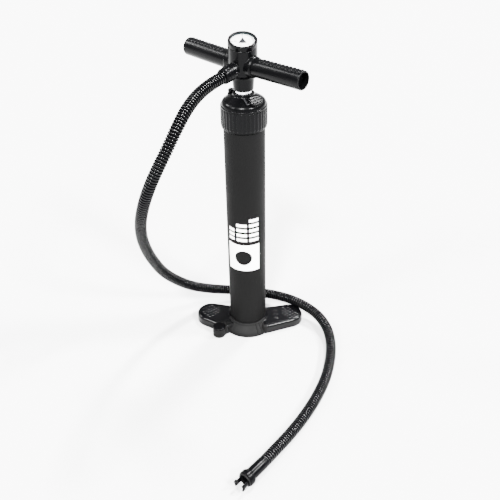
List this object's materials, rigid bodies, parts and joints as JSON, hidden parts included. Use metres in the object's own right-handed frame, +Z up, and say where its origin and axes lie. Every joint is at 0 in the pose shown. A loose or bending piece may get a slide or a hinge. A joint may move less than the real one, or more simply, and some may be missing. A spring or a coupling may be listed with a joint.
{
  "type": "double action hand pump",
  "caption": "Upright double action hand pump with a foot plate, a T-handle carrying a pressure gauge, and a corrugated hose ending in a bayonet connector.",
  "frame": {"origin": "on the barrel axis at floor level, in the middle of the underside of the foot plate", "axes": "+Z up along the barrel; the feet point along +X and -X; -Y is the front, where the printed patch is"},
  "size_m": [0.3733, 0.5329, 0.6225],
  "materials": {
    "base_plastic": "moulded black, semi-gloss",
    "screw_steel": "zinc plated",
    "fitting_plastic": "moulded black, gloss",
    "filter_foam": "open cell foam",
    "seal_rubber": "smooth moulded rubber",
    "cage_plastic": "moulded grey",
    "barrel_plastic": "satin black tube",
    "label_white": "printed white",
    "cap_plastic": "moulded black, satin",
    "bush_plastic": "low friction plastic",
    "seal_red": "silicone ring",
    "tether_rubber": "soft moulded strap",
    "rod_steel": "polished tube",
    "piston_plastic": "moulded black",
    "handle_plastic": "moulded black, satin",
    "grip_plastic": "moulded black, satin with raised dashes",
    "gauge_steel": "pressed sheet",
    "dial_white": "printed white disc",
    "needle_red": "red lacquer",
    "movement_brass": "plain brass",
    "lens_clear": "clear window",
    "hose_plastic": "corrugated black, semi-gloss"
  },
  "bodies": {
    "barrel": {"base_foot": "base_plastic", "base_cover": "base_plastic", "base_screws": "screw_steel", "inlet_cap": "fitting_plastic", "inlet_filter": "filter_foam", "inlet_cage": "cage_plastic", "bottom_seal": "seal_rubber", "bottom_bumper": "seal_rubber", "barrel_tube": "barrel_plastic", "barrel_label": "label_white", "barrel_marks": "label_white", "top_cap": "cap_plastic", "cap_seal": "seal_rubber", "rod_bush": "bush_plastic", "rod_seal": "seal_rubber", "rod_wiper": "seal_rubber", "cap_flap": "seal_rubber", "top_bumper": "seal_rubber", "plug_tether": "tether_rubber", "hose": "hose_plastic", "hose_sleeve": "fitting_plastic", "connector_body": "fitting_plastic", "connector_seal": "seal_rubber"},
    "inlet_valve": {"inlet_disc": "seal_rubber"},
    "plug": {"mode_plug": "fitting_plastic", "plug_seal": "seal_red"},
    "handle": {"piston_rod": "rod_steel", "piston_body": "piston_plastic", "piston_ring": "seal_rubber", "piston_wear_ring": "bush_plastic", "disc_stop": "cage_plastic", "rod_flap": "seal_rubber", "rod_gasket": "seal_rubber", "handle_hub": "handle_plastic", "grip_right": "grip_plastic", "grip_left": "grip_plastic", "grip_plugs": "grip_plastic", "gauge_case": "gauge_steel", "gauge_dial": "dial_white", "gauge_movement": "movement_brass", "gauge_lens": "lens_clear", "gauge_bezel": "fitting_plastic", "gauge_seal": "seal_rubber", "hose_nut": "fitting_plastic", "hose_nipple": "fitting_plastic", "nipple_seal": "seal_rubber", "hose_cuff": "fitting_plastic"},
    "needle": {"gauge_needle": "needle_red"},
    "piston_valve": {"piston_disc": "seal_rubber"}
  },
  "joints": [
    {"name": "stroke", "type": "slide", "parent": "barrel", "child": "handle", "axis": [0, 0, 1], "range_m": [0, 0.41]},
    {"name": "inlet_lift", "type": "slide", "parent": "barrel", "child": "inlet_valve", "axis": [0, 0, 1], "range_m": [0, 0.0018]},
    {"name": "piston_valve_lift", "type": "slide", "parent": "handle", "child": "piston_valve", "axis": [0, 0, 1], "range_m": [0, 0.002]},
    {"name": "plug_pull", "type": "slide", "parent": "barrel", "child": "plug", "axis": [0.3377, -0.3261, 0.8829], "range_m": [0, 0.018], "deforming": ["plug_tether"]},
    {"name": "needle_swing", "type": "hinge", "parent": "handle", "child": "needle", "pos_m": [0, 0, 0.6078], "axis": [0.0479, -0.2714, 0.9613], "range_deg": [-270, 0], "stiffness_Nm_per_rad": 0.0005}
  ]
}
